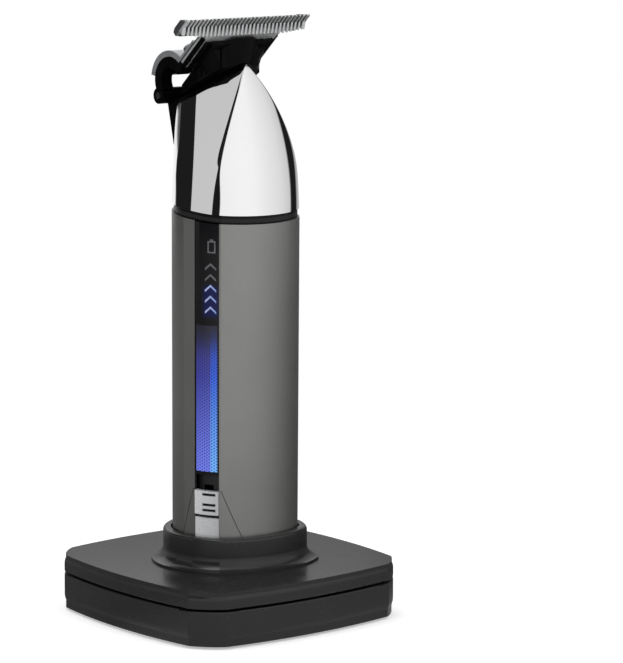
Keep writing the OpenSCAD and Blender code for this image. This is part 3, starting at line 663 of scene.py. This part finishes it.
# Mesh helpers
def mesh_object(name, verts, faces, material, body, stands_for=()):
    """Smooth mesh that rides on a body and takes the finish it is given."""
    mesh = bpy.data.meshes.new(name)
    mesh.from_pydata([tuple(v) for v in verts], [], faces)
    mesh.update()
    obj = bpy.data.objects.new(name, mesh)
    scene.collection.objects.link(obj)
    mesh.materials.append(material)
    for face in mesh.polygons:
        face.use_smooth = True
    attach(obj, body)
    if stands_for:
        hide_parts(*stands_for)
    return obj


def grid_faces(rows, cols, flip=False):
    """Quads between closed rings of equal length."""
    faces = []
    for i in range(rows - 1):
        for j in range(cols):
            a = i * cols + j
            b = i * cols + (j + 1) % cols
            quad = (a, b, b + cols, a + cols)
            faces.append(quad[::-1] if flip else quad)
    return faces


def loft(name, rings, material, body, bevel):
    """Closed solid through rings of equal length, with its edges rounded."""
    cols = len(rings[0])
    verts = [v for ring in rings for v in ring]
    faces = grid_faces(len(rings), cols)
    faces.append(tuple(range(cols))[::-1])
    faces.append(tuple(range(len(verts) - cols, len(verts))))
    obj = mesh_object(name, verts, faces, material, body)
    mesh = bmesh.new()
    mesh.from_mesh(obj.data)
    bmesh.ops.recalc_face_normals(mesh, faces=mesh.faces)
    mesh.to_mesh(obj.data)
    mesh.free()
    edge = obj.modifiers.new("edge", "BEVEL")
    edge.width = bevel * MM
    edge.segments = 3
    edge.limit_method = "ANGLE"
    edge.harden_normals = True
    return obj


# Nose with soft ridges
def soft_min(a, b, k):
    """Smaller of two values, rounded over about k where they meet."""
    values = np.array([a, b])
    low = np.min(values, axis=0)
    return low - k * np.log(np.sum(np.exp(-(values - low) / k), axis=0))


def ray_circle(circle_y, r, start_y, dx, dy):
    """Distance from (0, start_y) along (dx, dy) to the far side of a circle on the middle line."""
    oy = start_y - circle_y
    b = oy * dy
    return -b + np.sqrt(np.maximum(b * b - (oy * oy - r * r), 0))


def flank_in(h):
    """Distance of the flanks from the axis at height h above the joint, along an arch."""
    tip_side = math.cos(SIDE_TURN) * NOSE_TIP_D
    arch_in = SIDE_D + TAPER - tip_side
    arch_top = NOSE_H + ARCH_LOW
    arch_mid = (arch_top ** 2 - ARCH_LOW ** 2 - arch_in ** 2) / (2 * arch_in)
    arch_r = math.hypot(arch_top, arch_mid)
    return np.sqrt(np.maximum(arch_r ** 2 - (h + ARCH_LOW) ** 2, 0)) - arch_mid + tip_side


def front_radius(h):
    """Radius of the front face at height h above the joint, bowed in to the tip."""
    drop = FRONT_D + TAPER - NOSE_TIP_D
    bow = (drop ** 2 + NOSE_H ** 2) / (2 * drop)
    return FRONT_R + TAPER - bow + np.sqrt(np.maximum(bow ** 2 - h * h, 0))


def rim_level(y):
    """Height of the nose's rim above the joint, at y behind the axis."""
    return RIM_TOP - math.tan(RIM_DROP) * (y + NOSE_TIP_D)


class NoseWall:
    """Wall of the nose in polar form round a centre in front of the trimmer's axis."""

    cols = 480
    rows = 120
    centre = -1.0
    lowest = -4.0
    highest = NOSE_H - 0.02
    smallest = 0.05
    halvings = 40

    def __init__(self, inset):
        self.inset = inset
        self.phi = np.linspace(0, 2 * np.pi, self.cols, endpoint=False)
        self.dx = np.sin(self.phi)
        self.dy = np.cos(self.phi)

    def radius(self, h):
        """Distance of the wall from the centre, at each angle, at height h above the joint."""
        dx, dy = self.dx, self.dy
        wall = ray_circle(BACK_D, BACK_R + TAPER - h * math.tan(NOSE_DRAFT), self.centre, dx, dy)
        for side in (-1, 1):
            nx, ny = side * math.sin(SIDE_TURN), -math.cos(SIDE_TURN)
            room = flank_in(h) - ny * self.centre
            speed = nx * dx + ny * dy
            flank = np.where(speed > NEARLY_NONE, room / np.maximum(speed, NEARLY_NONE), FAR)
            wall = soft_min(wall, flank, FLANK_SOFT)
        front = ray_circle(FRONT_C, front_radius(h), self.centre, dx, dy)
        soft = RIDGE_SOFT + RIDGE_SOFT_FOOT * np.clip(1 - h / NOSE_H, 0, 1) ** 2
        return np.maximum(soft_min(wall, front, soft) - self.inset, self.smallest)

    def level(self, height_of):
        """Height at each angle where the wall meets a plane whose height depends on y."""
        lo = np.full(self.cols, self.lowest)
        hi = np.full(self.cols, self.highest)
        for _ in range(self.halvings):
            h = (lo + hi) / 2
            above = h > height_of(self.centre + self.radius(h) * self.dy)
            hi = np.where(above, h, hi)
            lo = np.where(above, lo, h)
        return h

    def rings(self):
        """Rings from the joint up to the rim, in metres."""
        low = self.level(lambda y: y * math.tan(JOINT_LEAN))
        top = self.level(rim_level)
        out = []
        for share in np.arange(self.rows) / (self.rows - 1):
            h = low + (top - low) * share
            r = self.radius(h)
            y = AXIS_Y + self.centre + r * self.dy
            out.append(np.stack([r * self.dx * MM, y * MM, (JOINT_Z + h) * MM], axis=1))
        return out


def nose_piece():
    """Closed shell: outer wall, lip, inner wall and the seat on the joint."""
    cols = NoseWall.cols
    outer = NoseWall(0.0).rings()
    lip = NoseWall(LIP_IN).rings()[-1] + np.array([0, 0, LIP_RISE * MM])
    inner = NoseWall(NOSE_WALL).rings()[::-1]
    seat = inner[-1] * 0.5 + outer[0] * 0.5
    rings = outer + [lip] + inner + [seat]
    last = (len(rings) - 1) * cols
    faces = grid_faces(len(rings), cols, flip=True)
    faces += [(j, (j + 1) % cols, last + (j + 1) % cols, last + j) for j in range(cols)]
    shell = mesh_object("nose_shell", np.concatenate(rings), faces, MATERIALS["nose"],
                        "trimmer", ["nose"])
    for edge in shell.data.edges:
        edge.use_edge_sharp = max(edge.vertices) < cols


# Small pieces of the head
def blade_point(x, s, t):
    """Point of the blade frame: across, down from the tooth tips, out of the inner face."""
    c = math.cos(BLADE_LEAN)
    n = math.sin(BLADE_LEAN)
    return (x * MM, (AXIS_Y - TIP_D + c * s + n * t) * MM, (TIP_Z - n * s + c * t) * MM)


def axis_point(x, y, z):
    """Point given across, behind the trimmer's axis and above the table."""
    return (x * MM, (AXIS_Y + y) * MM, z * MM)


def rim_height(y):
    """Height of the nose's rim above the table."""
    return JOINT_Z + rim_level(y)


def carrier_height(y):
    """Height of the carrier's underside above the table."""
    s = (y + TIP_D - CARRIER_UNDER * math.sin(BLADE_LEAN)) / math.cos(BLADE_LEAN)
    return TIP_Z - s * math.sin(BLADE_LEAN) + CARRIER_UNDER * math.cos(BLADE_LEAN)


def both_sides(name):
    """The two sides' signs with the names of their pieces."""
    return ((-1, name + "_left"), (1, name + "_right"))


def carrier_cheeks():
    """Skirts that close the sides between the blade carrier and the nose's open top."""
    inner, outer, edge = 4.6, 10.2, 0.4
    front, length, steps = -0.6, 13.4, 13
    foot_start, flare, flare_rate = inner + 0.6, 6.2, 1.6
    for side, name in both_sides("carrier_cheek"):
        rings = []
        for share in np.linspace(0, 1, steps):
            y = front + length * share
            low = rim_height(y) + CHEEK_GAP
            top = carrier_height(y)
            foot = min(outer, foot_start + flare * math.sqrt(min(1, share * flare_rate)))
            outline = ((inner, low), (foot, low), (outer, top - edge), (outer, top), (inner, top))
            rings.append([axis_point(side * x, y, z) for x, z in outline])
        loft(name, rings, MATERIALS["carrier"], "head", bevel=0.3)


def neck_front():
    """Front of the carrier's neck, a wedge behind the nose's tip."""
    rings = []
    for y, foot, head in ((-2.7, 1.2, 3.0), (-1.6, 3.0, 6.0), (0.4, 4.9, 9.0), (3.0, 5.2, 9.2)):
        low = rim_height(y) + NECK_GAP
        top = carrier_height(y)
        outline = ((-foot, low), (foot, low), (head, top), (-head, top))
        rings.append([axis_point(x, y, z) for x, z in outline])
    loft("carrier_neck_front", rings, MATERIALS["carrier"], "head", bevel=0.3)


def side_rails():
    """Black edges of the carrier, flush with the sides of the blade's shank."""
    inner, outer, low, top = 12.6, 13.12, -1.75, -0.3
    start, end = 6.4, 19.0
    outline = ((inner, low), (outer, low), (outer, top), (inner, top))
    for side, name in both_sides("carrier_rail"):
        rings = [[blade_point(side * x, s, t) for x, t in outline] for s in (start, end)]
        loft(name, rings, MATERIALS["carrier"], "head", bevel=0.06)


def cutter_ends():
    """Thick end blocks of the moving blade, flush with the ends of the fixed one."""
    inner, outer = 19.6, 21.6
    outline = ((0.9, 0.6), (7.4, 0.6), (7.4, 2.1), (6.2, 2.7), (2.6, 2.7), (0.9, 1.1))
    for side, name in both_sides("cutter_end"):
        rings = [[blade_point(side * x, s, t) for s, t in outline] for x in (inner, outer)]
        loft(name, rings, MATERIALS["block"], "cutter", bevel=0.35)


nose_piece()
carrier_cheeks()
neck_front()
side_rails()
cutter_ends()


# Camera
def add_camera():
    """Camera where the photograph was taken from."""
    level = Vector((math.cos(CAMERA_AZIMUTH), math.sin(CAMERA_AZIMUTH), 0))
    flat = math.cos(CAMERA_ELEVATION)
    back = Vector((math.sin(CAMERA_AZIMUTH) * flat, -math.cos(CAMERA_AZIMUTH) * flat,
                   math.sin(CAMERA_ELEVATION)))
    right = level * math.cos(CAMERA_ROLL) + back.cross(level) * math.sin(CAMERA_ROLL)
    up = back.cross(right)
    eye = CAMERA_PLACE + right * CAMERA_SHIFT_RIGHT + up * CAMERA_SHIFT_UP
    data = bpy.data.cameras.new("camera")
    data.sensor_width = SENSOR
    data.lens = FOCAL_PIXELS * SENSOR / PHOTO_PIXELS
    data.clip_start = 0.01
    data.clip_end = 50
    camera = bpy.data.objects.new("camera", data)
    camera.matrix_world = Matrix.Translation(eye) @ Matrix((right, up, back)).transposed().to_4x4()
    scene.collection.objects.link(camera)
    scene.camera = camera


# Stage
def seen_directly(g):
    """1 for the rays that show the white set: from the camera, a mirror or glass."""
    path = g.add("ShaderNodeLightPath").outputs
    return g.largest(path["Is Camera Ray"], g.largest(path["Is Glossy Ray"], path["Is Transmission Ray"]))


def floor_material():
    """White floor that takes the part's shadow and fades into the white background."""
    g = Graph("floor_white")
    grain = g.noise(40.0, 2.0)
    seen = seen_directly(g)
    g.give(
        Base_Color=g.blend(grain, (0.80, 0.80, 0.80), (0.82, 0.82, 0.82)),
        Roughness=0.9,
        Specular_IOR_Level=0.0,
        Emission_Color=WHITE,
        Emission_Strength=g.times(seen, 0.42),
    )
    away = g.vector("LENGTH", g.coord).outputs["Value"]
    mixer = g.add("ShaderNodeMixShader")
    g.link(g.times(seen, g.rise(away, *FLOOR_FADE)), mixer.inputs["Fac"])
    g.link(g.shader.outputs[0], mixer.inputs[1])
    g.link(g.add("ShaderNodeEmission").outputs[0], mixer.inputs[2])
    g.link(mixer.outputs[0], g.out.inputs["Surface"])
    return g.mat


def add_stage(name, verts, faces, material):
    """Mesh that belongs to the set and not to the part."""
    mesh = bpy.data.meshes.new(name)
    mesh.from_pydata(verts, [], faces)
    mesh.materials.append(material)
    obj = bpy.data.objects.new(name, mesh)
    scene.collection.objects.link(obj)
    return obj


def add_floor():
    """Square floor under the part."""
    half = FLOOR_HALF
    corners = [(-half, -half, 0), (half, -half, 0), (half, half, 0), (-half, half, 0)]
    add_stage("floor", corners, [(0, 1, 2, 3)], floor_material())


# Brightness of the tent's panels by direction in degrees, 0 in front of the part
NOSE_PANELS = [
    (-180, 0.95), (-175, 0.95), (-172, 0.15), (-167, 0.012), (-132, 0.012), (-130.5, 0.58), (-116, 0.62),
    (-114, 0.01), (-53, 0.01), (-51, 0.92), (-5, 0.97), (12, 0.96), (30, 0.87), (55, 0.76), (74, 0.62),
    (77, 0.012), (94, 0.012), (99, 0.4), (124, 0.6), (145, 0.95),
]
BODY_PANELS = [
    (-180, 0.42), (-150, 0.32), (-100, 0.38), (-70, 0.95), (0, 1.05), (26, 0.88), (45, 0.66), (60, 0.4),
    (75, 0.18), (90, 0.12), (124, 0.15), (130, 0.36), (155, 0.36), (170, 0.3),
]
TOP_PANELS = [
    (-180, 0.9), (-172, 0.15), (-167, 0.02), (-132, 0.02), (-125, 0.6), (-60, 0.7), (0, 0.95), (74, 0.6),
    (94, 0.2), (145, 0.9),
]
FOOT_SHADE = [(0.0, 0.6), (0.3, 0.94), (1.0, 1.0)]


def grey_ramp(g, value, stops):
    """Grey by value, through stops of place and brightness."""
    return g.ramp(value, [(place, (level, level, level)) for place, level in stops])


def tent_material():
    """Panels of white, grey and black: one row each for body, nose and what looks up."""
    g = Graph("tent_panels")
    x, y, z = g.split(g.coord)
    turn = g.spread(g.math("ARCTAN2", x, g.times(y, -1.0)), 0.0, 1.0, -math.pi, math.pi)
    body, nose, top = [grey_ramp(g, turn, [((d + 180) / 360, v) for d, v in row])
                       for row in (BODY_PANELS, NOSE_PANELS, TOP_PANELS)]
    lower = g.mix(g.rise(z, *NOSE_ROW_START), body, nose)
    g.give(
        Base_Color=(0.0, 0.0, 0.0, 1.0),
        Specular_IOR_Level=0.0,
        Emission_Color=g.mix(g.rise(z, *TOP_ROW_START), lower, top),
        Emission_Strength=grey_ramp(g, g.spread(z, 0.0, 1.0, *TENT_SHADE), FOOT_SHADE),
    )
    return g.mat


def add_tent():
    """Light tent round the set, met by reflections only."""
    cols = 96
    turns = [2 * math.pi * i / cols for i in range(cols)]
    ring = [(TENT_R * math.sin(turn), TENT_R * math.cos(turn)) for turn in turns]
    verts = [(x, y, z) for z in (TENT_FOOT, TENT_TOP) for x, y in ring]
    faces = grid_faces(2, cols) + [tuple(range(cols))]
    tent = add_stage("tent", verts, faces, tent_material())
    tent.visible_camera = False
    tent.visible_diffuse = False
    tent.visible_shadow = False
    tent.visible_transmission = False


# Light
def add_world():
    """Soft white light all round, and plain white where the set is seen directly."""
    world = bpy.data.worlds.new("studio")
    scene.world = world
    world.use_nodes = True
    tree = world.node_tree
    tree.nodes.clear()
    mixer = tree.nodes.new("ShaderNodeMixShader")
    for socket, strength in ((1, 0.35), (2, 1.0)):
        light = tree.nodes.new("ShaderNodeBackground")
        light.inputs["Color"].default_value = WHITE
        light.inputs["Strength"].default_value = strength
        tree.links.new(light.outputs[0], mixer.inputs[socket])
    path = tree.nodes.new("ShaderNodeLightPath")
    seen = path.outputs["Is Camera Ray"]
    for ray in ("Is Glossy Ray", "Is Transmission Ray"):
        largest = tree.nodes.new("ShaderNodeMath")
        largest.operation = "MAXIMUM"
        tree.links.new(seen, largest.inputs[0])
        tree.links.new(path.outputs[ray], largest.inputs[1])
        seen = largest.outputs[0]
    tree.links.new(seen, mixer.inputs["Fac"])
    out = tree.nodes.new("ShaderNodeOutputWorld")
    tree.links.new(mixer.outputs[0], out.inputs["Surface"])


def add_lamp(name, size, location, target, power):
    """Area lamp of a size in metres, aimed at a point."""
    data = bpy.data.lights.new(name, "AREA")
    data.shape = "RECTANGLE"
    data.size, data.size_y = size
    data.energy = power
    lamp = bpy.data.objects.new(name, data)
    lamp.location = location
    lamp.rotation_mode = "QUATERNION"
    lamp.rotation_quaternion = (Vector(target) - Vector(location)).to_track_quat("-Z", "Y")
    scene.collection.objects.link(lamp)


add_camera()
add_floor()
add_tent()
add_world()
add_lamp("key", (0.9, 0.9), (0.5, -1.0, 1.1), (0, 0, 0.08), 9.0)
add_lamp("top", (1.2, 1.2), (-0.2, 0.4, 1.4), (0, 0, 0.05), 10.0)
add_lamp("left", (0.6, 1.0), (-1.2, -0.1, 0.6), (0, 0, 0.08), 4.0)

scene.view_settings.view_transform = "Standard"
